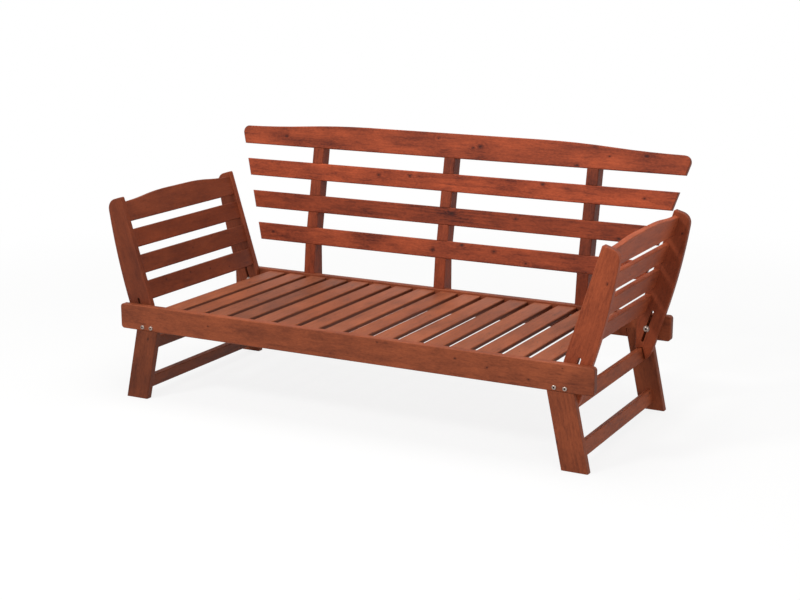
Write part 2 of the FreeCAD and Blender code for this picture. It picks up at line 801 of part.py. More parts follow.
nodes.append(upright_bolts("upright_bolts"))

doc.recompute()
for item in doc.Objects:
    if {"Invalid", "Error"} & set(item.State):
        raise RuntimeError(f"{item.Label} failed: {item.State}")
for node in nodes:
    if node.Shape.isNull() or not node.Shape.isValid():
        raise RuntimeError(f"{node.Label} has no valid shape")

os.makedirs("parts", exist_ok=True)
for node in nodes:
    node.Shape.exportStep(os.path.join("parts", f"{node.Label}.step"))
whole = Part.makeCompound([node.Shape for node in nodes]).BoundBox
print(len(nodes), "nodes", round(whole.XMin, 2), round(whole.XMax, 2), round(whole.YMin, 2),
      round(whole.YMax, 2), round(whole.ZMin, 2), round(whole.ZMax, 2))
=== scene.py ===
"""Looks of a stained hardwood garden daybed with two fold-down arms.

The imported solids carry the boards' shapes. This script dresses them in
procedural wood, adds the fixings and the toes of the arms' stiles, and sets
the studio and the camera. Metres, +Z up, -Y is the front.
"""

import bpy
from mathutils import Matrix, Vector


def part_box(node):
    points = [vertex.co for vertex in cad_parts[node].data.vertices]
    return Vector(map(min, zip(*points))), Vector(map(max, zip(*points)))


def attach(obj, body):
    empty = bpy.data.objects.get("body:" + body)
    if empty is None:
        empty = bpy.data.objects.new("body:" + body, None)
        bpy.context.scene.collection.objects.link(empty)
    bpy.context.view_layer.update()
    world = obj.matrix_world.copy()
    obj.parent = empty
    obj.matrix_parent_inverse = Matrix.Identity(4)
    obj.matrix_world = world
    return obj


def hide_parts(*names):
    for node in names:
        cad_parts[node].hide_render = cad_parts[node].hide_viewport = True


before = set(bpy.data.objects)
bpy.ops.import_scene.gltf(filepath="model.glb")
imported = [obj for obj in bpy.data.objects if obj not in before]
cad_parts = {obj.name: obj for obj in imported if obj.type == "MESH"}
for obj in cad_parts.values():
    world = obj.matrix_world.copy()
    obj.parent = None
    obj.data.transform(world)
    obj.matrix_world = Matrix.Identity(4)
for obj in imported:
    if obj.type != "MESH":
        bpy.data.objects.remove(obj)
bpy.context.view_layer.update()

import logging
import math
import zlib
from dataclasses import dataclass, field, replace
from enum import Enum
from fnmatch import fnmatch

import bmesh
import bpy
from mathutils import Euler, Matrix, Vector
from mathutils.bvhtree import BVHTree

log = logging.getLogger("daybed")

Triple = tuple[float, float, float]
Rgba = tuple[float, float, float, float]
Span = tuple[float, float, float, float]
Spot = tuple[Vector, Vector]
Node = bpy.types.Node
Tree = bpy.types.NodeTree
Socket = bpy.types.NodeSocket

RAKE = math.radians(11.2)  # of the back's uprights, from the vertical
SPLAY = math.radians(12.2)  # of the legs
LEAN = math.radians(17.0)  # of the arms at rest
ALONG_X, ALONG_Y, UP = (1.0, 0.0, 0.0), (0.0, 1.0, 0.0), (0.0, 0.0, 1.0)
ENDS = (("front", -1.0), ("rear", 1.0))  # each with the way outward along Y
FLOAT, COLOUR, VECTOR = "NodeSocketFloat", "NodeSocketColor", "NodeSocketVector"
SHAPE, COUNT, FINISH = "NodeSocketGeometry", "NodeSocketInt", "NodeSocketMaterial"
WHITE = (1.0, 1.0, 1.0, 1.0)
SEED_STEPS = 100003
SHARED: dict[str, Tree] = {}


def linear(code: str) -> Rgba:
    """Colour of a hex code, in the shader's linear values.

    Args:
        code: six hex digits.

    Returns:
        Red, green, blue and an alpha of one.
    """
    shares = [int(code[i : i + 2], 16) / 255 for i in (0, 2, 4)]
    values = [c / 12.92 if c <= 0.04045 else ((c + 0.055) / 1.055) ** 2.4
              for c in shares]
    return (values[0], values[1], values[2], 1.0)


def seed_of(name: str, span: float = 1.0, salt: str = "") -> float:
    """Fixed number from 0 to span for a name; a salt gives it another one."""
    return (zlib.crc32((name + salt).encode()) % SEED_STEPS) / SEED_STEPS * span


def linked(name: str, data: bpy.types.ID) -> bpy.types.Object:
    """Puts a new object in the scene.

    Args:
        name: its name.
        data: its mesh, lamp or camera.

    Returns:
        The object.
    """
    made = bpy.data.objects.new(name, data)
    bpy.context.scene.collection.objects.link(made)
    return made


class Side(Enum):
    """The two ends of the bench."""

    LEFT = -1
    RIGHT = 1

    @property
    def label(self) -> str:
        """Word used in node names."""
        return self.name.lower()


class Slot(Enum):
    """Material slots of the record."""

    FRAME = "frame_wood"
    SEAT = "seat_wood"
    BACK = "back_wood"
    ARM = "arm_wood"
    STEEL = "bolt_steel"


@dataclass(frozen=True)
class Noise:
    """One noise: waves per metre along, across and through a board.

    The shift tells apart noises of one seed. The share is how strongly the
    noise counts where it is used.
    """

    waves: Triple
    shift: float = 0.0
    detail: float = 2.0
    roughness: float = 0.5
    share: float = 1.0


class Wiring:
    """Adds the nodes of one tree and joins them."""

    def __init__(self, tree: Tree) -> None:
        """Starts on an empty tree."""
        self.tree = tree
        tree.nodes.clear()

    def feed(self, socket: Socket, source: object) -> None:
        """Joins a socket to another one, or sets its own value.

        Args:
            socket: the input.
            source: a socket, or a plain value.
        """
        if isinstance(source, Socket):
            self.tree.links.new(source, socket)
        else:
            socket.default_value = source

    def add(self, kind: str, *sources: object, **settings: object) -> Node:
        """One node with its settings and first inputs.

        Args:
            kind: the node's type name.
            sources: sockets or values for its inputs, in their order.
            settings: attributes to set on it.

        Returns:
            The new node.
        """
        node = self.tree.nodes.new(kind)
        for name, setting in settings.items():
            setattr(node, name, setting)
        for socket, source in zip(node.inputs, sources):
            self.feed(socket, source)
        return node

    def fill(self, node: Node, **sources: object) -> Node:
        """Feeds a node's inputs by name.

        Args:
            node: the node.
            sources: sockets or values by name, with underscores for blanks.

        Returns:
            The same node.
        """
        for name, source in sources.items():
            self.feed(node.inputs[name.replace("_", " ")], source)
        return node

    def math(self, operation: str, *values: object, clamp: bool = False) -> Socket:
        """Result of a Math node, kept between 0 and 1 if clamped."""
        node = self.add("ShaderNodeMath", *values, operation=operation, use_clamp=clamp)
        return node.outputs[0]

    def vector(self, operation: str, *values: object) -> Socket:
        """Result of a Vector Math node."""
        node = self.add("ShaderNodeVectorMath", *values, operation=operation)
        return node.outputs["Value" if operation in ("LENGTH", "DOT_PRODUCT") else 0]

    def total(self, start: object, *parts: tuple[Socket, object]) -> Socket:
        """Sum of a start and of sockets times their weights.

        Args:
            start: socket or number.
            parts: sockets, each with its weight.

        Returns:
            The output socket.
        """
        for part, weight in parts:
            start = self.math("MULTIPLY_ADD", part, weight, start)
        return start

    def combine(self, *parts: object) -> Socket:
        """Vector of up to three sockets or numbers."""
        return self.add("ShaderNodeCombineXYZ", *parts).outputs[0]

    def separate(self, source: Socket) -> list[Socket]:
        """The three parts of a vector."""
        return list(self.add("ShaderNodeSeparateXYZ", source).outputs)

    def span(self, value: object, low: float, high: float, start: float = 0.0,
             end: float = 1.0) -> Socket:
        """Value moved smoothly from low and high to start and end, clamped."""
        return self.add("ShaderNodeMapRange", value, low, high, start, end,
                        interpolation_type="SMOOTHSTEP").outputs[0]

    def blend(self, share: object, first: object, second: object) -> Socket:
        """Mix of two colours.

        Args:
            share: how much of the second.
            first: colour or socket.
            second: colour or socket.

        Returns:
            The colour socket.
        """
        node = self.add("ShaderNodeMix", data_type="RGBA", clamp_factor=True)
        sources = {"Factor_Float": share, "A_Color": first, "B_Color": second}
        for socket in node.inputs:
            if socket.identifier in sources:
                self.feed(socket, sources[socket.identifier])
        return next(s for s in node.outputs if s.identifier == "Result_Color")

    def noise(self, place: Socket, seed: object, look: Noise) -> Socket:
        """Value of a seeded noise at a place.

        Args:
            place: the place in metres.
            seed: number of the board.
            look: the noise.

        Returns:
            The value socket, middling at a half.
        """
        if look.shift:
            seed = self.math("ADD", seed, look.shift)
        node = self.add("ShaderNodeTexNoise", noise_dimensions="4D")
        self.fill(node, Vector=self.vector("MULTIPLY", place, look.waves), W=seed,
                  Scale=1.0, Detail=look.detail, Roughness=look.roughness)
        return node.outputs[0]

    def group(self, name: str, **sources: object) -> bpy.types.NodeOutputs:
        """Outputs of a shared group, its inputs fed by name as fill does."""
        return self.fill(self.add("ShaderNodeGroup", node_tree=SHARED[name]),
                         **sources).outputs

    def surface(self, colour: Socket, roughness: Socket, bump: Node,
                **inputs: object) -> None:
        """Ends a material on a Principled shader.

        Args:
            colour: its base colour.
            roughness: its roughness.
            bump: the Bump node behind its normal.
            inputs: further inputs, as fill takes them.
        """
        shader = self.add("ShaderNodeBsdfPrincipled")
        self.fill(shader, Base_Color=colour, Roughness=roughness,
                  Normal=bump.outputs[0], **inputs)
        self.add("ShaderNodeOutputMaterial", shader.outputs[0])


def new_material(name: str) -> tuple[bpy.types.Material, Wiring]:
    """Material with an empty tree.

    Args:
        name: the material's name.

    Returns:
        The material and the wiring of its tree.
    """
    material = bpy.data.materials.new(name)
    material.use_nodes = True
    return material, Wiring(material.node_tree)


def node_group(name: str, inputs: dict[str, str], outputs: dict[str, str],
               kind: str = "ShaderNodeTree") -> tuple[Wiring, dict[str, Socket], Node]:
    """Empty node group with named sockets.

    Args:
        name: the group's name.
        inputs: socket type by name.
        outputs: socket type by name.
        kind: type of its tree.

    Returns:
        Its wiring, what it is given by name, and its output node.
    """
    tree = bpy.data.node_groups.new(name, kind)
    for way, sockets in (("INPUT", inputs), ("OUTPUT", outputs)):
        for label, socket_type in sockets.items():
            tree.interface.new_socket(label, in_out=way, socket_type=socket_type)
    w = Wiring(tree)
    given = w.add("NodeGroupInput").outputs
    return w, {label: given[label] for label in inputs}, w.add("NodeGroupOutput")


@dataclass
class GrainGroup:
    """Wires the figure of a sawn board: rings, knots, smudges, fibres and pores.

    The place is the board's own, X along the grain and Z through its
    thickness, in metres from its middle. A span says between which values
    something grows, and from what to what; round a knot, in radii of the knot.
    Tones are shares of the dark colour, stains of the knots' colour. The tone,
    the fibres and the pores add to the roughness, and late wood, fibres, pores
    and knots have heights.
    """

    ragged: Noise = Noise((60.0, 160.0, 160.0), share=1.5)
    drift: Noise = Noise((1.6, 5.0, 5.0), share=0.07)
    sway: Noise = Noise((3.5, 14.0, 14.0), 5.0, share=0.03)
    jitter: Noise = Noise((9.0, 90.0, 90.0), detail=3.0, share=1.1)
    fading: Noise = Noise((3.0, 22.0, 22.0), 9.0)
    broad: Noise = Noise((2.4, 30.0, 30.0), 0.0, 3.0, 0.55, 0.9)
    fine: Noise = Noise((16.0, 380.0, 380.0), 0.0, 3.0, 0.65, 1.4)
    speckle: Noise = Noise((110.0, 300.0, 300.0), 17.0, 2.0, 0.7, 1.2)
    blotch: Noise = Noise((7.0, 17.0, 17.0), 3.0, 4.0, 0.6, 2.4)
    smoke: Noise = Noise((16.0, 95.0, 95.0), 13.0, 3.0, 0.5, 0.36)
    pores: Noise = Noise((60.0, 1300.0, 1300.0), detail=1.0)
    knot_cells: Triple = (9.0, 13.0, 0.0)
    knot_shift: float = 7.31
    knot_size: Span = (0.4, 1.0, 0.05, 1.1)
    knot_core: Span = (0.45, 1.15, 1.0, 0.0)
    knot_halo: Span = (0.9, 3.0, 1.0, 0.0)
    knot_swirl: Span = (0.0, 6.0, 1.0, 0.0)
    swirl_rings: float = 1.8
    ring_rise: Span = (0.1, 0.9, 0.0, 1.0)
    ring_fall: Span = (0.88, 1.0, 0.0, 1.0)
    ring_fade: Span = (0.36, 0.66, 0.1, 1.0)
    smudge: Span = (0.5, 0.74, 0.0, 1.0)
    pore: Span = (0.62, 0.74, 0.0, 1.0)
    base_tone: float = 0.38
    halo_tone: float = 0.32
    knot_stain: float = 0.75
    pore_stain: float = 0.3
    roughness: float = 0.56
    rougher: Triple = (-0.08, 0.12, 0.15)
    heights: Span = (0.25, 0.5, -0.8, -0.5)

    def __post_init__(self) -> None:
        """Makes the empty group."""
        self.made: dict[Noise, Socket] = {}
        self.w, self.given, self.out = node_group(
            "board_grain",
            {"Place": VECTOR, "Seed": FLOAT, "Heart": VECTOR, "Light": COLOUR,
             "Dark": COLOUR, "Knot": COLOUR, "Ring Pitch": FLOAT,
             "Ring Contrast": FLOAT, "Streaks": FLOAT, "Mottle": FLOAT, "Knots": FLOAT},
            {"Colour": COLOUR, "Roughness": FLOAT, "Height": FLOAT},
        )

    def noise(self, look: Noise) -> Socket:
        """A noise of this board, wired once.

        Args:
            look: the noise.

        Returns:
            Its value.
        """
        if look not in self.made:
            place, seed = self.given["Place"], self.given["Seed"]
            self.made[look] = self.w.noise(place, seed, look)
        return self.made[look]

    def wander(self, look: Noise) -> Socket:
        """A noise of this board as a length, to both sides of nought."""
        return self.w.total(-look.share / 2, (self.noise(look), look.share))

    def knot_distance(self) -> Socket:
        """Distance from the nearest knot, in radii of that knot.

        Returns:
            The distance, ragged round the edge.
        """
        w, given = self.w, self.given
        flat = w.vector("MULTIPLY", given["Place"], self.knot_cells)
        shift = w.combine(w.math("MULTIPLY", given["Seed"], self.knot_shift))
        cells = w.add("ShaderNodeTexVoronoi", feature="F1", distance="EUCLIDEAN",
                      voronoi_dimensions="2D")
        w.fill(cells, Vector=w.vector("ADD", flat, shift), Scale=1.0)
        lot = w.add("ShaderNodeSeparateColor", cells.outputs["Color"]).outputs[0]
        reach = w.math("MULTIPLY", given["Knots"], w.span(lot, *self.knot_size))
        near = w.math("DIVIDE", cells.outputs["Distance"], reach)
        ragged = w.math("SUBTRACT", self.noise(self.ragged), 0.5)
        return w.total(near, (ragged, self.ragged.share))

    def late_wood(self, near: Socket) -> Socket:
        """Dark share of the growth rings, which bend round the knots.

        Args:
            near: distance from the nearest knot.

        Returns:
            The share.
        """
        w, given = self.w, self.given
        bent = w.combine(0.0, self.wander(self.drift), self.wander(self.sway))
        bent = w.vector("ADD", given["Place"], bent)
        spot = w.vector("SUBTRACT", bent, given["Heart"])
        round_heart = w.vector("LENGTH", w.vector("MULTIPLY", spot, (0.0, 1.0, 1.0)))
        rings = w.total(w.math("DIVIDE", round_heart, given["Ring Pitch"]),
                        (w.span(near, *self.knot_swirl), self.swirl_rings),
                        (self.noise(self.jitter), self.jitter.share))
        phase = w.math("FRACT", rings)
        late = w.math("SUBTRACT", w.span(phase, *self.ring_rise),
                      w.span(phase, *self.ring_fall))
        fade = w.span(self.noise(self.fading), *self.ring_fade)
        return w.math("MULTIPLY", late, fade)

    def tone(self, near: Socket, late: Socket) -> Socket:
        """Share of the dark colour.

        Args:
            near: distance from the nearest knot.
            late: share of the growth rings.

        Returns:
            The share.
        """
        w, given = self.w, self.given
        tone = w.total(self.base_tone, (late, given["Ring Contrast"]))
        for figure, weight in ((self.broad, "Streaks"), (self.fine, "Streaks"),
                               (self.speckle, "Mottle"), (self.blotch, "Mottle")):
            part = w.math("SUBTRACT", self.noise(figure), 0.5)
            part = w.math("MULTIPLY", part, given[weight])
            tone = w.total(tone, (part, figure.share))
        smudge = w.span(self.noise(self.smoke), *self.smudge)
        smudge = w.math("MULTIPLY", smudge, given["Mottle"])
        tone = w.total(tone, (smudge, self.smoke.share))
        halo = w.span(near, *self.knot_halo)
        return w.math("MULTIPLY_ADD", halo, self.halo_tone, tone, clamp=True)

    def build(self) -> Tree:
        """Wires the colour, the roughness and the height.

        Returns:
            The shader group.
        """
        w, given = self.w, self.given
        near = self.knot_distance()
        late = self.late_wood(near)
        tone = self.tone(near, late)
        fine = self.noise(self.fine)
        knot = w.span(near, *self.knot_core)
        pore = w.span(self.noise(self.pores), *self.pore)
        colour = w.blend(tone, given["Light"], given["Dark"])
        for mark, stain in ((knot, self.knot_stain), (pore, self.pore_stain)):
            colour = w.blend(w.math("MULTIPLY", mark, stain), colour, given["Knot"])
        rough = w.total(self.roughness, *zip((tone, fine, pore), self.rougher))
        height = w.total(0.0, *zip((late, fine, pore, knot), self.heights))
        w.fill(self.out, Colour=colour, Roughness=rough, Height=height)
        return w.tree


def end_grain_group() -> Tree:
    """Darkens the sawn ends, which drink more stain, and where asked paints shade on
    the long sides, as in the gaps between boards.

    Returns:
        The shader group.
    """
    w, given, out = node_group(
        "end_grain",
        {"Colour": COLOUR, "Facing": VECTOR, "Depth": FLOAT, "Sides": FLOAT},
        {"Colour": COLOUR},
    )
    along, across, _ = w.separate(given["Facing"])
    square_on = (0.8, 0.98)
    ends = w.span(w.math("ABSOLUTE", along), *square_on)
    # Sides facing across the board get painted shade, as in the gaps between boards;
    # the darker ends are real stain.
    sides = w.span(w.math("ABSOLUTE", across), *square_on)
    share = w.total(0.0, (ends, given["Depth"]), (sides, given["Sides"]))
    w.fill(out, Colour=w.blend(share, given["Colour"], linear("4a2114")))
    return w.tree


def edge_wear_group() -> Tree:
    """Eased edges: a rounded normal, and paler patches along them, partly stain rubbed
    thin and partly painted highlight.

    Returns:
        The shader group.
    """
    w, given, out = node_group(
        "edge_wear",
        {"Colour": COLOUR, "Worn": COLOUR, "Place": VECTOR, "Seed": FLOAT,
         "Amount": FLOAT},
        {"Colour": COLOUR, "Normal": VECTOR},
    )
    radius, bent_enough = 0.0018, (0.985, 0.80)
    edge_patch_noise, patches = Noise((30.0, 60.0, 60.0), detail=3.0), (0.35, 0.65, 0.25, 1.0)
    bevel = w.add("ShaderNodeBevel", radius, samples=6).outputs[0]
    true = w.add("ShaderNodeNewGeometry").outputs["True Normal"]
    edge = w.span(w.vector("DOT_PRODUCT", bevel, true), *bent_enough)
    patch = w.span(w.noise(given["Place"], given["Seed"], edge_patch_noise), *patches)
    # The paler edges are partly stain rubbed thin and partly painted highlight along
    # the arrises.
    mask = w.math("MULTIPLY", edge, patch)
    share = w.math("MULTIPLY", mask, given["Amount"])
    w.fill(out, Colour=w.blend(share, given["Colour"], given["Worn"]), Normal=bevel)
    return w.tree


def plating_group() -> Tree:
    """Faint tool marks and dull spots of plated steel, and painted shade in the recess
    of its drive.

    Returns:
        The shader group.
    """
    w, given, out = node_group(
        "plated_steel",
        {"Place": VECTOR, "Bright": COLOUR, "Dull": COLOUR, "Grime": COLOUR,
         "Recess": FLOAT, "Spots": FLOAT},
        {"Colour": COLOUR, "Roughness": FLOAT, "Height": FLOAT},
    )
    clouds = Noise((420.0, 420.0, 420.0), detail=4.0, roughness=0.6)
    scratches = Noise((900.0, 900.0, 4200.0), share=0.4)
    spot_span, recess_shade_cover, roughness, rougher = (0.42, 0.72), 0.92, 0.3, (0.3, 0.3)
    cloud = w.noise(given["Place"], 0.0, clouds)
    spots = w.math("MULTIPLY", w.span(cloud, *spot_span), given["Spots"])
    # Painted shade in the drive's recess.
    grime = w.math("MULTIPLY", given["Recess"], recess_shade_cover)
    colour = w.blend(spots, given["Bright"], given["Dull"])
    scratch = w.noise(given["Place"], 2.0, scratches)
    w.fill(out, Colour=w.blend(grime, colour, given["Grime"]),
           Roughness=w.total(roughness, *zip((spots, grime), rougher)),
           Height=w.total(cloud, (scratch, scratches.share)))
    return w.tree


class Shade(Enum):
    """Tone of a board as a share of its family's colour: partly real stain depth,
    partly painted shade and painted light.
    """

    DEEP = 0.66
    DARK = 0.84
    EVEN = 1.0
    PALE = 1.18
    BRIGHT = 1.38


@dataclass(frozen=True)
class WoodStain:
    """Colours and figure of one family of stained boards."""

    light: str
    dark: str
    knot: str = "2b0f08"
    # Paler colour of the eased edges: rubbed stain, and painted highlight on the
    # arrises.
    worn: str = "b4623a"
    ring_pitch: float = 0.008
    ring_contrast: float = 0.22
    streaks: float = 0.34
    mottle: float = 0.42
    knots: float = 0.06
    shade_spread: float = 0.07
    warmth_spread: float = 0.04
    specular: float = 0.2
    # ends darkens the end grain, which drinks more stain; sides paints shade on the
    # long sides that face into gaps between boards.
    ends: float = 0.45
    sides: float = 0.0
    # How strongly the edges pale, as rubbed stain and painted highlight.
    wear: float = 0.5
    bump: float = 0.22
    bump_height: float = 0.0008


@dataclass(frozen=True)
class PlatedSteel:
    """Finish of the bolts and screws."""

    bright: str = "a5948b"
    dull: str = "74665f"
    # Colour of the painted shade in the drive's recess.
    grime: str = "1a1412"
    spots: float = 0.6
    bump: float = 0.12
    bump_height: float = 0.0004

    def build(self, name: str) -> bpy.types.Material:
        """Material of this finish.

        Args:
            name: the material's name.

        Returns:
            The material.
        """
        material, w = new_material(name)
        place = w.add("ShaderNodeTexCoord").outputs["Object"]
        # The recess mark is where painted shade darkens the drive.
        recess = w.add("ShaderNodeAttribute", attribute_name="recess").outputs["Fac"]
        steel = w.group("plated_steel", Place=place, Bright=linear(self.bright),
                        Dull=linear(self.dull), Grime=linear(self.grime), Recess=recess,
                        Spots=self.spots)
        bump = w.fill(w.add("ShaderNodeBump"), Strength=self.bump,
                      Distance=self.bump_height, Height=steel["Height"])
        w.surface(steel["Colour"], steel["Roughness"], bump, Metallic=1.0)
        return material


STAINS = {
    Slot.FRAME: WoodStain("a35433", "4a1e12", ring_contrast=0.13, streaks=0.19,
                          mottle=0.6, knots=0.026),
    # The seat paints shade on the slats' long sides, which face into the gaps between
    # them.
    Slot.SEAT: WoodStain("a55b3a", "562a1a", ring_contrast=0.16, streaks=0.28,
                         mottle=0.5, knots=0.02, shade_spread=0.10, sides=0.7),
    Slot.BACK: WoodStain("b25230", "4a170d", streaks=0.42, mottle=0.7, knots=0.046),
    Slot.ARM: WoodStain("a44f2e", "4e1c0f", ring_contrast=0.12, streaks=0.24,
                        mottle=0.5, knots=0.022),
}
# Boards toned apart from their family. The back and seat slats differ in real stain.
# The darker left legs, rails and left arm are painted shade, and the brighter right
# arm, right stretcher and right cross-rail are painted light.
TONES_AND_LIGHT = {
    Shade.DEEP: ("left_front_leg", "left_cross_rail", "left_arm_front_stile",
                 "left_arm_slat_[123]", "right_back_upright"),
    Shade.DARK: ("*_rear_leg", "left_stretcher", "back_slat_2", "left_arm_slat_4",
                 "left_arm_rear_stile", "seat_slat_0[46]", "seat_slat_14",
                 "left_back_upright", "middle_back_upright"),
    Shade.PALE: ("back_slat_3", "right_arm_slat_[12]", "right_stretcher",
                 "right_cross_rail", "seat_slat_1[01]"),
    Shade.BRIGHT: ("right_arm_front_stile", "right_arm_slat_[34]"),
}


@dataclass(frozen=True)
class Board:
    """One wooden node, with the way its grain runs.

    The log's heart ran below the board: up to heart_aside to either side of
    it, and within heart_below under it.
    """

    node: str
    slot: Slot
    along: Triple
    width: Triple
    heart_aside: float = 0.06
    heart_below: tuple[float, float] = (0.03, 0.12)
    seed_span: float = 40.0

    def placing(self) -> tuple[Vector, Euler]:
        """Middle and turn of the board's own axes.

        Returns:
            The middle of its box and the Euler turn of its grain.
        """
        low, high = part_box(self.node)
        length, wide = Vector(self.along).normalized(), Vector(self.width).normalized()
        turn = Matrix((length, wide, length.cross(wide))).transposed()
        return (low + high) / 2, turn.to_euler()

    def shade(self) -> float:
        """Tone of this board: how deep the stain took, and on some painted shade and
        light; most are even.

        Returns:
            The share of its family's colour.
        """
        found = (shade for shade, patterns in TONES_AND_LIGHT.items()
                 if any(fnmatch(self.node, pattern) for pattern in patterns))
        return next(found, Shade.EVEN).value

    def heart(self) -> Triple:
        """Where the log's heart ran, from this board's middle.

        Returns:
            The place, in the board's own axes.
        """
        nearest, deepest = self.heart_below
        sideways = seed_of(self.node, 2 * self.heart_aside, "side") - self.heart_aside
        below = -nearest - seed_of(self.node, deepest - nearest, "below")
        return (0.0, sideways, below)

    def tones(self, stain: WoodStain) -> tuple[Rgba, Rgba]:
        """Light and dark colour of this board, lighter or darker than its family.

        Args:
            stain: the family's stain.

        Returns:
            Both colours.
        """
        paler = seed_of(self.node, 2.0, "shade") - 1.0
        warmer = seed_of(self.node, 2.0, "warmth") - 1.0
        # Tone of the board: real stain depth and a random spread, with painted shade
        # and painted light on some listed boards.
        shade = self.shade() * (1.0 + paler * stain.shade_spread)
        warmth = 1.0 + warmer * stain.warmth_spread
        found = []
        for code in (stain.light, stain.dark):
            r, g, b, a = linear(code)
            found.append((r * shade * warmth, g * shade, b * shade / warmth, a))
        return found[0], found[1]

    def dress(self) -> None:
        """Gives the node its own stained wood."""
        stain = STAINS[self.slot]
        middle, turn = self.placing()
        light, dark = self.tones(stain)
        seed = seed_of(self.node, self.seed_span)
        material, w = new_material(f"{self.node}_{self.slot.value}")
        coords = w.add("ShaderNodeTexCoord").outputs
        own = w.add("ShaderNodeMapping", vector_type="TEXTURE")
        w.fill(own, Vector=coords["Object"], Location=middle, Rotation=turn)
        facing = w.add("ShaderNodeMapping", vector_type="TEXTURE")
        w.fill(facing, Vector=coords["Normal"], Rotation=turn)
        grain = w.group(
            "board_grain", Place=own.outputs[0], Seed=seed, Heart=self.heart(),
            Light=light, Dark=dark, Knot=linear(stain.knot), Knots=stain.knots,
            Ring_Pitch=stain.ring_pitch, Ring_Contrast=stain.ring_contrast,
            Streaks=stain.streaks, Mottle=stain.mottle,
        )
        # End grain darkened by stain, and painted shade on the long sides where the
        # family asks for it.
        ends = w.group("end_grain", Colour=grain["Colour"], Facing=facing.outputs[0],
                       Depth=stain.ends, Sides=stain.sides)
        # Paler patches along the edges: rubbed stain and painted highlight.
        worn = w.group("edge_wear", Colour=ends["Colour"], Worn=linear(stain.worn),
                       Place=own.outputs[0], Seed=seed, Amount=stain.wear)
        bump = w.fill(w.add("ShaderNodeBump"), Strength=stain.bump,
                      Distance=stain.bump_height, Height=grain["Height"],
                      Normal=worn["Normal"])
        w.surface(worn["Colour"], grain["Roughness"], bump,
                  Specular_IOR_Level=stain.specular)
        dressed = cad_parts[self.node]
        dressed.data.materials.clear()
        dressed.data.materials.append(material)
        log.info("%s wears %s", self.node, material.name)


class Drive(Enum):
    """Recess in a head, as the share by which it is a cross and not a hexagon."""

    HEXAGON = 0.0
    CROSS = 1.0


@dataclass(frozen=True)
class Fixing:
    """Sizes of one kind of bolt or screw, in metres."""

    head_radius: float
    head_height: float
    shank_radius: float
    shank_length: float
    drive: Drive
    drive_width: float
    drive_depth: float
    washer_radius: float = 0.0
    washer_height: float = 0.0
    sides: int = 24

    def hole_edge(self) -> float:
        """Distance from the axis at which the wood under the head is whole."""
        return (self.head_radius + self.shank_radius) / 2

    def sizes(self) -> dict[str, float]:
        """Values of the fixing tree's inputs.

        Returns:
            Value by input name.
        """
        found = {name.replace("_", " ").title(): size
                 for name, size in vars(self).items() if isinstance(size, float)}
        washer = max(self.washer_radius, self.head_radius)
        return {**found, "Washer Radius": washer, "Cross": self.drive.value}


LEG_BOLT = Fixing(0.0065, 0.0035, 0.003, 0.019, Drive.HEXAGON, 0.005, 0.0024)
UPRIGHT_BOLT = replace(LEG_BOLT, shank_length=0.0535)
PIVOT_BOLT = Fixing(0.0078, 0.0042, 0.0037, 0.0358, Drive.HEXAGON, 0.006, 0.0028,
                    0.00925, 0.0008)
PAN_SCREW = Fixing(0.0042, 0.0020, 0.0018, 0.014, Drive.CROSS, 0.0046, 0.0014, sides=16)


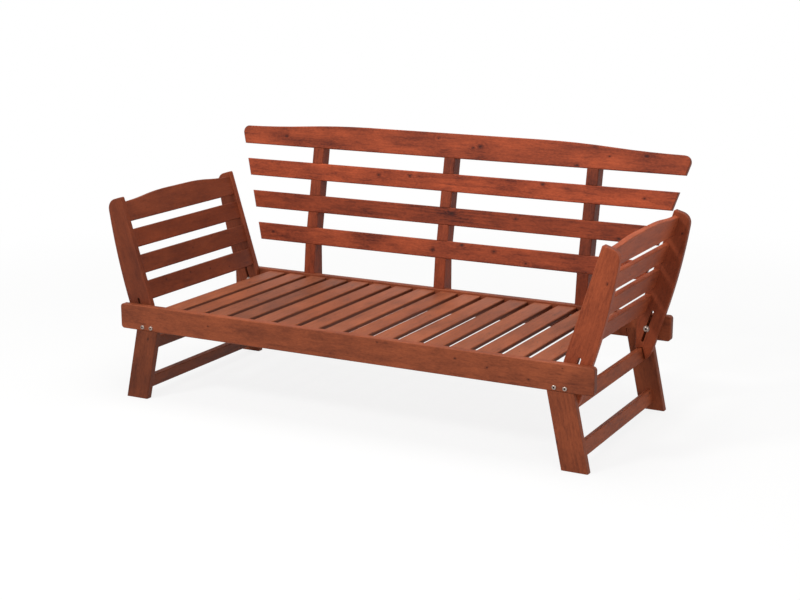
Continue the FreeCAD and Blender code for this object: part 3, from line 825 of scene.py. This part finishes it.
@dataclass
class FixingTree:
    """Geometry nodes that turn one head and shank at every marked spot.

    A sheet of sides by stations is bent round an axis. Each station has a
    radius, a height and the share by which it follows the drive's outline. The
    dome gives shares of the head's radius and height, from its rim to its
    crown. The cross is the span from a cross drive's notch to its lobe.
    """

    stations: int = 12
    recess_stations: int = 2
    dome: tuple[tuple[float, float], ...] = ((1.0, 0.42), (0.88, 0.80), (0.68, 1.0))
    cross: Span = (0.55, 0.88, 0.19, 0.5)
    weld: float = 0.00001
    crease: float = math.radians(38.0)
    spin_seed: int = 7

    def __post_init__(self) -> None:
        """Makes the group, and finds each vertex's station and angle."""
        inputs = {"Spots": SHAPE, **dict.fromkeys(PAN_SCREW.sizes(), FLOAT),
                  "Sides": COUNT, "Finish": FINISH}
        self.w, self.given, self.out = node_group("fixings", inputs, {"Fixings": SHAPE},
                                                  "GeometryNodeTree")
        w, stations = self.w, float(self.stations)
        index = w.add("GeometryNodeInputIndex").outputs[0]
        self.station = w.math("MODULO", index, stations)
        side = w.math("FLOOR", w.math("DIVIDE", w.math("ADD", index, 0.5), stations))
        turn = w.math("DIVIDE", side, self.given["Sides"])
        self.angle = w.math("MULTIPLY", turn, math.tau)

    def drive(self) -> Socket:
        """Distance of the drive's outline from the axis, at this angle.

        Returns:
            The distance in metres.
        """
        w, given, angle = self.w, self.given, self.angle
        sixth = w.math("MODULO", angle, math.tau / 6)
        off_corner = w.math("SUBTRACT", sixth, math.tau / 12)
        hexagon = w.math("DIVIDE", 0.5, w.math("COSINE", off_corner))
        lobe = w.math("ABSOLUTE", w.math("COSINE", w.math("MULTIPLY", angle, 2.0)))
        change = w.math("SUBTRACT", w.span(lobe, *self.cross), hexagon)
        share = w.total(hexagon, (change, given["Cross"]))
        return w.math("MULTIPLY", share, given["Drive Width"])

    def profile(self) -> list[Socket]:
        """Outline from the shank's tip over the head and down into the drive.

        Returns:
            This station's radius, its height and its share of the drive.
        """
        w, given = self.w, self.given
        base, height, head, shank, washer = (given[name] for name in (
            "Washer Height", "Head Height", "Head Radius", "Shank Radius",
            "Washer Radius"))
        top = w.math("ADD", base, height)
        floor = w.math("SUBTRACT", top, given["Drive Depth"])
        tip = w.math("MULTIPLY", given["Shank Length"], -1.0)
        dome = [(w.math("MULTIPLY", head, out), w.total(base, (height, up)), 0.0)
                for out, up in self.dome]
        outline = (
            (0.0, tip, 0.0), (shank, tip, 0.0), (shank, 0.0, 0.0), (washer, 0.0, 0.0),
            (washer, base, 0.0), (head, base, 0.0), *dome,
            (0.0, top, 1.0), (0.0, floor, 1.0), (0.0, floor, 0.0),
        )
        pick = w.add("GeometryNodeIndexSwitch", data_type="VECTOR")
        while len(pick.index_switch_items) < self.stations:
            pick.index_switch_items.new()
        w.feed(pick.inputs[0], self.station)
        for number, parts in enumerate(outline, 1):
            w.feed(pick.inputs[number], w.combine(*parts))
        return w.separate(pick.outputs[0])

    def turned(self) -> Socket:
        """One fixing round the Z axis, the floor of its drive marked as recess.

        Returns:
            Its geometry.
        """
        w, angle = self.w, self.angle
        sheet = w.add("GeometryNodeMeshGrid")
        w.fill(sheet, Vertices_X=w.math("ADD", self.given["Sides"], 1.0),
               Vertices_Y=self.stations)
        out, height, follows = self.profile()
        radius = w.total(out, (follows, self.drive()))
        bent = w.combine(w.math("MULTIPLY", radius, w.math("COSINE", angle)),
                         w.math("MULTIPLY", radius, w.math("SINE", angle)), height)
        # The drive's floor is marked as recess, where the steel paints shade.
        last_of_head = self.stations - self.recess_stations - 0.5
        recess = w.math("GREATER_THAN", self.station, last_of_head)
        marked = w.add("GeometryNodeStoreNamedAttribute", data_type="FLOAT",
                       domain="POINT")
        w.fill(marked, Geometry=sheet.outputs["Mesh"], Name="recess", Value=recess)
        moved = w.fill(w.add("GeometryNodeSetPosition"), Geometry=marked.outputs[0],
                       Position=bent)
        return w.fill(w.add("GeometryNodeMergeByDistance"), Geometry=moved.outputs[0],
                      Distance=self.weld).outputs[0]

    def placed(self) -> Socket:
        """Copies of the fixing at every spot, along its axis and spun at random.

        Returns:
            The instances.
        """
        w = self.w
        axis = w.add("GeometryNodeInputNamedAttribute", data_type="FLOAT_VECTOR")
        w.fill(axis, Name="axis")
        aim = w.fill(w.add("FunctionNodeAlignRotationToVector", axis="Z"),
                     Vector=axis.outputs["Attribute"])
        copies = w.fill(w.add("GeometryNodeInstanceOnPoints"), Instance=self.turned(),
                        Points=self.given["Spots"], Rotation=aim.outputs[0])
        chance = w.add("FunctionNodeRandomValue", data_type="FLOAT")
        draw = {"Min": 0.0, "Max": math.tau, "Seed": self.spin_seed}
        for socket in chance.inputs:
            if socket.enabled and socket.name in draw:
                socket.default_value = draw[socket.name]
        spin = w.combine(0.0, 0.0, next(o for o in chance.outputs if o.enabled))
        return w.fill(w.add("GeometryNodeRotateInstances"), Instances=copies.outputs[0],
                      Rotation=spin).outputs[0]

    def build(self) -> Tree:
        """Makes the fixings real, with sharp creases and their finish.

        Returns:
            The node group.
        """
        w = self.w
        real = w.add("GeometryNodeRealizeInstances", self.placed())
        angle = w.add("GeometryNodeInputMeshEdgeAngle").outputs[0]
        shaded = w.add("GeometryNodeSetShadeSmooth", real.outputs[0], domain="EDGE")
        w.fill(shaded, Shade_Smooth=False,
               Selection=w.math("GREATER_THAN", angle, self.crease))
        finished = w.fill(w.add("GeometryNodeSetMaterial"), Geometry=shaded.outputs[0],
                          Material=self.given["Finish"])
        w.feed(self.out.inputs[0], finished.outputs[0])
        return w.tree


def touch(node: str, start: Vector, towards: Vector, beside: float = 0.0) -> Spot:
    """Where a line first meets a node's surface.

    Args:
        node: the node's name.
        start: a point off the surface.
        towards: the line's direction.
        beside: how far to the right the surface is felt, past a drilled hole.

    Returns:
        The point met and the surface's outward normal there.

    Raises:
        ValueError: when the line misses the node.
    """
    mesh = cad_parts[node].data
    surface = BVHTree.FromPolygons([v.co for v in mesh.vertices],
                                   [face.vertices for face in mesh.polygons])
    aside = Vector((beside, 0.0, 0.0))
    point, normal, _, _ = surface.ray_cast(start + aside, towards)
    if point is None:
        raise ValueError(f"no surface of {node} in that direction")
    return point - aside, normal if normal.dot(towards) < 0 else -normal


@dataclass
class FixingSet:
    """All fixings of one kind that ride on one body."""

    name: str
    kind: Fixing
    body: str
    replaced: tuple[str, ...] = ()
    spots: list[Spot] = field(default_factory=list)

    def build(self, finish: bpy.types.Material) -> None:
        """Makes the mesh of the set and hands it to its body.

        Args:
            finish: material of the fixings.
        """
        marks = bpy.data.meshes.new(f"{self.name}_marks")
        marks.from_pydata([spot for spot, _ in self.spots], [], [])
        axes = marks.attributes.new("axis", "FLOAT_VECTOR", "POINT")
        for mark, (_, axis) in zip(axes.data, self.spots):
            mark.vector = axis
        piece = linked(self.name, marks)
        step = piece.modifiers.new("fixings", "NODES")
        step.node_group = SHARED["fixings"]
        values = {**self.kind.sizes(), "Sides": self.kind.sides, "Finish": finish}
        for item in step.node_group.interface.items_tree:
            if item.name in values:
                step[item.identifier] = values[item.name]
        bpy.context.view_layer.update()
        made = piece.evaluated_get(bpy.context.evaluated_depsgraph_get())
        solid = bpy.data.meshes.new_from_object(made)
        piece.modifiers.remove(step)
        piece.data = solid
        solid.name = self.name
        bpy.data.meshes.remove(marks)
        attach(piece, self.body)
        if self.replaced:
            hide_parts(*self.replaced)
        log.info("%s: %d fixings, %d faces", self.name, len(self.spots),
                 len(solid.polygons))


@dataclass
class SeatFrame:
    """Long rails, ledgers, splayed legs and the members between them."""

    leg_bolt_out: float = 0.656
    leg_bolt_apart: float = 0.030
    leg_bolt_height: float = 0.2215
    ledger_screw_count: int = 4

    def boards(self) -> list[Board]:
        """Every board with its grain.

        Returns:
            The boards of the frame.
        """
        found = []
        for end, _ in ENDS:
            found.append(Board(f"{end}_seat_rail", Slot.FRAME, ALONG_X, UP))
            found.append(Board(f"{end}_slat_ledger", Slot.FRAME, ALONG_X, UP))
        for side in Side:
            out = side.value * math.sin(SPLAY)
            down = (-out, 0.0, math.cos(SPLAY))
            across = (math.cos(SPLAY), 0.0, out)
            for end, _ in ENDS:
                found.append(Board(f"{side.label}_{end}_leg", Slot.FRAME, down, across))
            for piece in ("cross_rail", "stretcher"):
                found.append(Board(f"{side.label}_{piece}", Slot.FRAME, ALONG_Y, down))
        return found

    def leg_bolts(self) -> list[Spot]:
        """Two bolts through a rail into every leg.

        Returns:
            Their spots on the rails' outer faces.
        """
        found = []
        for end, outward in ENDS:
            for side in Side:
                for step in (-0.5, 0.5):
                    across = side.value * self.leg_bolt_out + step * self.leg_bolt_apart
                    start = Vector((across, outward, self.leg_bolt_height))
                    found.append(touch(f"{end}_seat_rail", start,
                                       Vector((0, -outward, 0)), LEG_BOLT.hole_edge()))
        return found

    def ledger_screws(self) -> list[Spot]:
        """Screws that hold each ledger to its rail, from inside the seat.

        Returns:
            Their spots on the ledgers.
        """
        found = []
        for end, outward in ENDS:
            low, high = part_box(f"{end}_slat_ledger")
            for number in range(self.ledger_screw_count):
                share = (number + 0.5) / self.ledger_screw_count
                across = low.x + (high.x - low.x) * share
                start = Vector((across, 0.0, (low.z + high.z) / 2))
                towards = Vector((0, outward, 0))
                found.append(touch(f"{end}_slat_ledger", start, towards))
        return found

    def build(self) -> None:
        """Dresses the boards."""
        for board in self.boards():
            board.dress()


@dataclass
class SeatDeck:
    """Slats that lie across the seat."""

    slats: int = 16

    def names(self) -> list[str]:
        """Names of the slats' nodes."""
        return [f"seat_slat_{number:02d}" for number in range(1, self.slats + 1)]

    def screws(self) -> list[Spot]:
        """One screw at each end of a slat, driven up through the ledger.

        Returns:
            Their spots under the ledgers.
        """
        found = []
        for name in self.names():
            low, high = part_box(name)
            for end, _ in ENDS:
                ledger_low, ledger_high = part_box(f"{end}_slat_ledger")
                middle = (ledger_low.y + ledger_high.y) / 2
                start = Vector(((low.x + high.x) / 2, middle, 0.0))
                found.append(touch(f"{end}_slat_ledger", start, Vector(UP)))
        return found

    def build(self) -> None:
        """Dresses the slats."""
        for name in self.names():
            Board(name, Slot.SEAT, ALONG_Y, ALONG_X).dress()


@dataclass
class BackRest:
    """Raked uprights and the slats let into them.

    A slat's edges are felt a little behind its front, deeper at the top.
    """

    slats: int = 4
    places: tuple[str, ...] = ("left", "middle", "right")
    bolt_heights: tuple[float, ...] = (0.233, 0.263)
    screw_reach: float = 0.011
    felt_top: float = 0.02
    felt_bottom: float = 0.008
    overhead: float = 2.0

    def fixed_from_behind(self, place: str, height: float, across: float = 0.0,
                          beside: float = 0.0) -> Spot:
        """Spot on the rear face of an upright.

        Args:
            place: which upright.
            height: height of the spot.
            across: how far it lies to the right of the upright's middle.
            beside: how far aside the face is felt, past a drilled hole.

        Returns:
            The spot and the way its fixing's head faces.
        """
        low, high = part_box(f"{place}_back_upright")
        start = Vector(((low.x + high.x) / 2 + across, 1.0, height))
        return touch(f"{place}_back_upright", start, Vector((0, -1, 0)), beside)

    def bolts(self) -> list[Spot]:
        """Two bolts through the foot of every upright into the rear rail."""
        return [self.fixed_from_behind(place, height, beside=UPRIGHT_BOLT.hole_edge())
                for place in self.places for height in self.bolt_heights]

    def screws(self) -> list[Spot]:
        """Two screws through every upright into every slat.

        Returns:
            Their spots on the uprights' rear faces.
        """
        found = []
        for number in range(1, self.slats + 1):
            for place in self.places:
                low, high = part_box(f"{place}_back_upright")
                height = self.slat_height(number, (low.x + high.x) / 2)
                for across in (-self.screw_reach, self.screw_reach):
                    found.append(self.fixed_from_behind(place, height, across))
        return found

    def slat_height(self, number: int, across: float) -> float:
        """Height of an arched slat's middle at a place along it.

        Args:
            number: which slat.
            across: the place, from the bench's middle.

        Returns:
            The height.
        """
        name = f"back_slat_{number}"
        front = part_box(name)[0].y
        top = Vector((across, front + self.felt_top, self.overhead))
        bottom = Vector((across, front + self.felt_bottom, 0.0))
        above, _ = touch(name, top, -Vector(UP))
        below, _ = touch(name, bottom, Vector(UP))
        return (above.z + below.z) / 2

    def build(self) -> None:
        """Dresses the uprights and the slats."""
        raked = (0.0, math.sin(RAKE), math.cos(RAKE))
        for place in self.places:
            Board(f"{place}_back_upright", Slot.BACK, raked, ALONG_X).dress()
        for number in range(1, self.slats + 1):
            Board(f"back_slat_{number}", Slot.BACK, ALONG_X, raked).dress()


@dataclass(frozen=True)
class StileToe:
    """Pointed toe under a stile's foot, which hooks outside the cross-rail.

    Its outline is in the arm's own plane: outward from the pivot, and up the
    leaning stile. It stands out of the stile's faces by a hair, so that no two
    faces share a plane.
    """

    side: Side
    end: str
    outline: tuple[tuple[float, float], ...] = (
        (0.0046, -0.0560), (0.0254, -0.0882), (0.0268, -0.0895), (0.0284, -0.0879),
        (0.0322, -0.0785), (0.03695, -0.0580), (0.03695, -0.0340),
    )
    proud: float = 0.0001
    chamfer: float = 0.0020

    def build(self, pivot_out: float, pivot_height: float) -> None:
        """Makes the toe from its outline and the stile's thickness.

        Args:
            pivot_out: distance of the pivot from the bench's middle.
            pivot_height: height of the pivot.
        """
        stile = f"{self.side.label}_arm_{self.end}_stile"
        low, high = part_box(stile)
        form = bmesh.new()
        rings = []
        for depth in (low.y - self.proud, high.y + self.proud):
            ring = []
            for out, up in self.outline:
                across = pivot_out + out * math.cos(LEAN) + up * math.sin(LEAN)
                height = pivot_height - out * math.sin(LEAN) + up * math.cos(LEAN)
                ring.append(form.verts.new((self.side.value * across, depth, height)))
            rings.append(ring)
        faces = [form.faces.new(ring) for ring in rings]
        front, rear = rings
        for here in range(len(front)):
            there = (here + 1) % len(front)
            form.faces.new((front[here], front[there], rear[there], rear[here]))
        rims = [edge for face in faces for edge in face.edges]
        bmesh.ops.bevel(form, geom=rims, offset=self.chamfer, segments=1,
                        affect="EDGES")
        bmesh.ops.recalc_face_normals(form, faces=form.faces)
        mesh = bpy.data.meshes.new(f"{self.side.label}_{self.end}_toe")
        form.to_mesh(mesh)
        form.free()
        mesh.materials.append(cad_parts[stile].data.materials[0])
        toe = linked(mesh.name, mesh)
        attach(toe, f"{self.side.label}_arm")
        log.info("%s: %d faces", toe.name, len(mesh.polygons))


@dataclass
class FoldingArm:
    """One arm: two stiles with their toes, and the slats between them.

    The pivot's faces are where the bolts' heads sit, with the ways they face.
    """

    side: Side
    slats: int = 4
    pivot_out: float = 0.684
    pivot_height: float = 0.247
    pivot_faces: tuple[tuple[float, float], ...] = ((-0.3251, 1.0), (0.2213, -1.0))

    def pivot_bolts(self) -> FixingSet:
        """Bolts that the stiles' slots run on, heads inside the arm.

        Returns:
            The set for this arm's pivots.
        """
        spots = [(Vector((self.side.value * self.pivot_out, face, self.pivot_height)),
                  Vector((0.0, inward, 0.0))) for face, inward in self.pivot_faces]
        return FixingSet(f"{self.side.label}_pivot_fixings", PIVOT_BOLT,
                         f"{self.side.label}_pivots",
                         (f"{self.side.label}_pivot_bolts",), spots)

    def build(self) -> None:
        """Dresses the stiles and the slats, and adds the stiles' toes."""
        lean = (self.side.value * math.sin(LEAN), 0.0, math.cos(LEAN))
        across = (math.cos(LEAN), 0.0, -self.side.value * math.sin(LEAN))
        for end, _ in ENDS:
            Board(f"{self.side.label}_arm_{end}_stile", Slot.ARM, lean, across).dress()
            StileToe(self.side, end).build(self.pivot_out, self.pivot_height)
        for number in range(1, self.slats + 1):
            slat = f"{self.side.label}_arm_slat_{number}"
            Board(slat, Slot.ARM, ALONG_Y, lean).dress()


@dataclass(frozen=True)
class Lamp:
    """One round soft lamp."""

    name: str
    place: Triple
    size: float
    power: float


@dataclass
class Studio:
    """Pale floor and background, soft lamps and the camera.

    The floor turns white over its fade, in metres from the middle.
    """

    azimuth: float = 28.01
    elevation: float = 13.50
    lens: float = 68.93
    sensor: float = 36.0
    clip: tuple[float, float] = (0.05, 200.0)
    camera_at: Triple = (2.0651, -3.8884, 1.3591)
    lamps: tuple[Lamp, ...] = (
        Lamp("key", (-1.5, -3.6, 3.4), 0.9, 92.0),
        Lamp("side", (3.0, -3.0, 2.0), 2.2, 42.0),
        Lamp("top", (0.1, 0.0, 3.6), 2.4, 66.0),
    )
    lamps_aim: Triple = (0.0, -0.0519, 0.35)
    world_light: Rgba = (1.0, 0.99, 0.98, 1.0)
    world_strength: float = 0.40
    floor_fade: Span = (1.3, 3.2, 0.84, 1.0)
    floor_bounce: Rgba = (0.5, 0.49, 0.48, 1.0)
    floor_seen: Rgba = (0.9, 0.9, 0.89, 1.0)
    floor_reach: float = 30.0

    def stand(self, name: str, data: bpy.types.ID, place: Triple,
              towards: Vector) -> bpy.types.Object:
        """Stands a lamp or the camera in the studio.

        Args:
            name: its name.
            data: the lamp or camera.
            place: where it stands.
            towards: the way it looks.

        Returns:
            The object.
        """
        made = linked(name, data)
        made.location = place
        made.rotation_mode = "QUATERNION"
        made.rotation_quaternion = towards.to_track_quat("-Z", "Y")
        return made

    def camera(self) -> None:
        """Camera at the photograph's viewing angle."""
        data = bpy.data.cameras.new("camera")
        data.sensor_width, data.lens = self.sensor, self.lens
        data.clip_start, data.clip_end = self.clip
        a, e = math.radians(self.azimuth), math.radians(self.elevation)
        ahead = Vector((-math.sin(a) * math.cos(e), math.cos(a) * math.cos(e),
                        -math.sin(e)))
        bpy.context.scene.camera = self.stand("camera", data, self.camera_at, ahead)

    def light(self) -> None:
        """Large soft lamps round the bench."""
        for lamp in self.lamps:
            data = bpy.data.lights.new(lamp.name, "AREA")
            data.shape, data.size, data.energy = "DISK", lamp.size, lamp.power
            towards = Vector(self.lamps_aim) - Vector(lamp.place)
            self.stand(lamp.name, data, lamp.place, towards)

    def world(self) -> None:
        """White behind the bench, softer light on it."""
        world = bpy.data.worlds.new("studio")
        world.use_nodes = True
        w = Wiring(world.node_tree)
        path = w.add("ShaderNodeLightPath").outputs
        seen = w.math("MAXIMUM", path["Is Camera Ray"], path["Is Glossy Ray"])
        seen = w.math("MAXIMUM", seen, path["Is Transmission Ray"])
        lit = w.add("ShaderNodeBackground", self.world_light, self.world_strength)
        white = w.add("ShaderNodeBackground", WHITE, 1.0)
        mix = w.add("ShaderNodeMixShader", seen, lit.outputs[0], white.outputs[0])
        w.add("ShaderNodeOutputWorld", mix.outputs[0])
        bpy.context.scene.world = world

    def floor(self) -> None:
        """Pale floor that keeps the shadow and turns white further out."""
        material, w = new_material("pale_floor")
        place = w.add("ShaderNodeTexCoord").outputs["Object"]
        far = w.span(w.vector("LENGTH", place), *self.floor_fade)
        path = w.add("ShaderNodeLightPath").outputs
        seen = w.math("MAXIMUM", path["Is Camera Ray"], path["Is Glossy Ray"])
        white = w.add("ShaderNodeEmission", WHITE)
        matt = w.add("ShaderNodeBsdfDiffuse",
                     w.blend(seen, self.floor_bounce, self.floor_seen))
        mix = w.add("ShaderNodeMixShader", w.math("MULTIPLY", far, seen),
                    matt.outputs[0], white.outputs[0])
        w.add("ShaderNodeOutputMaterial", mix.outputs[0])
        mesh = bpy.data.meshes.new("floor")
        corners = [(x * self.floor_reach, y * self.floor_reach, 0.0)
                   for x, y in ((-1, -1), (1, -1), (1, 1), (-1, 1))]
        mesh.from_pydata(corners, [], [(0, 1, 2, 3)])
        mesh.materials.append(material)
        floor = linked("floor", mesh)

    def build(self) -> None:
        """Sets the whole studio."""
        self.camera()
        self.light()
        self.world()
        self.floor()
        bpy.context.scene.view_settings.view_transform = "Standard"


def main() -> None:
    logging.basicConfig(level=logging.INFO, format="%(name)s: %(message)s")
    SHARED["board_grain"] = GrainGroup().build()
    SHARED["end_grain"] = end_grain_group()
    SHARED["edge_wear"] = edge_wear_group()
    SHARED["plated_steel"] = plating_group()
    SHARED["fixings"] = FixingTree().build()
    seat_frame, deck, back = SeatFrame(), SeatDeck(), BackRest()
    arms = [FoldingArm(side) for side in Side]
    for assembly in (seat_frame, deck, back, *arms):
        assembly.build()
        log.info("%s is dressed", type(assembly).__name__)
    steel = PlatedSteel().build("bolt_steel")
    legs = FixingSet("leg_fixings", LEG_BOLT, "frame", ("leg_bolts",),
                     seat_frame.leg_bolts())
    uprights = FixingSet("upright_fixings", UPRIGHT_BOLT, "frame", ("upright_bolts",),
                         back.bolts())
    screws = FixingSet("frame_screws", PAN_SCREW, "frame", (),
                       seat_frame.ledger_screws() + deck.screws() + back.screws())
    for fixings in (legs, uprights, screws, *(arm.pivot_bolts() for arm in arms)):
        fixings.build(steel)
    Studio().build()


if __name__ == "__main__":
    main()
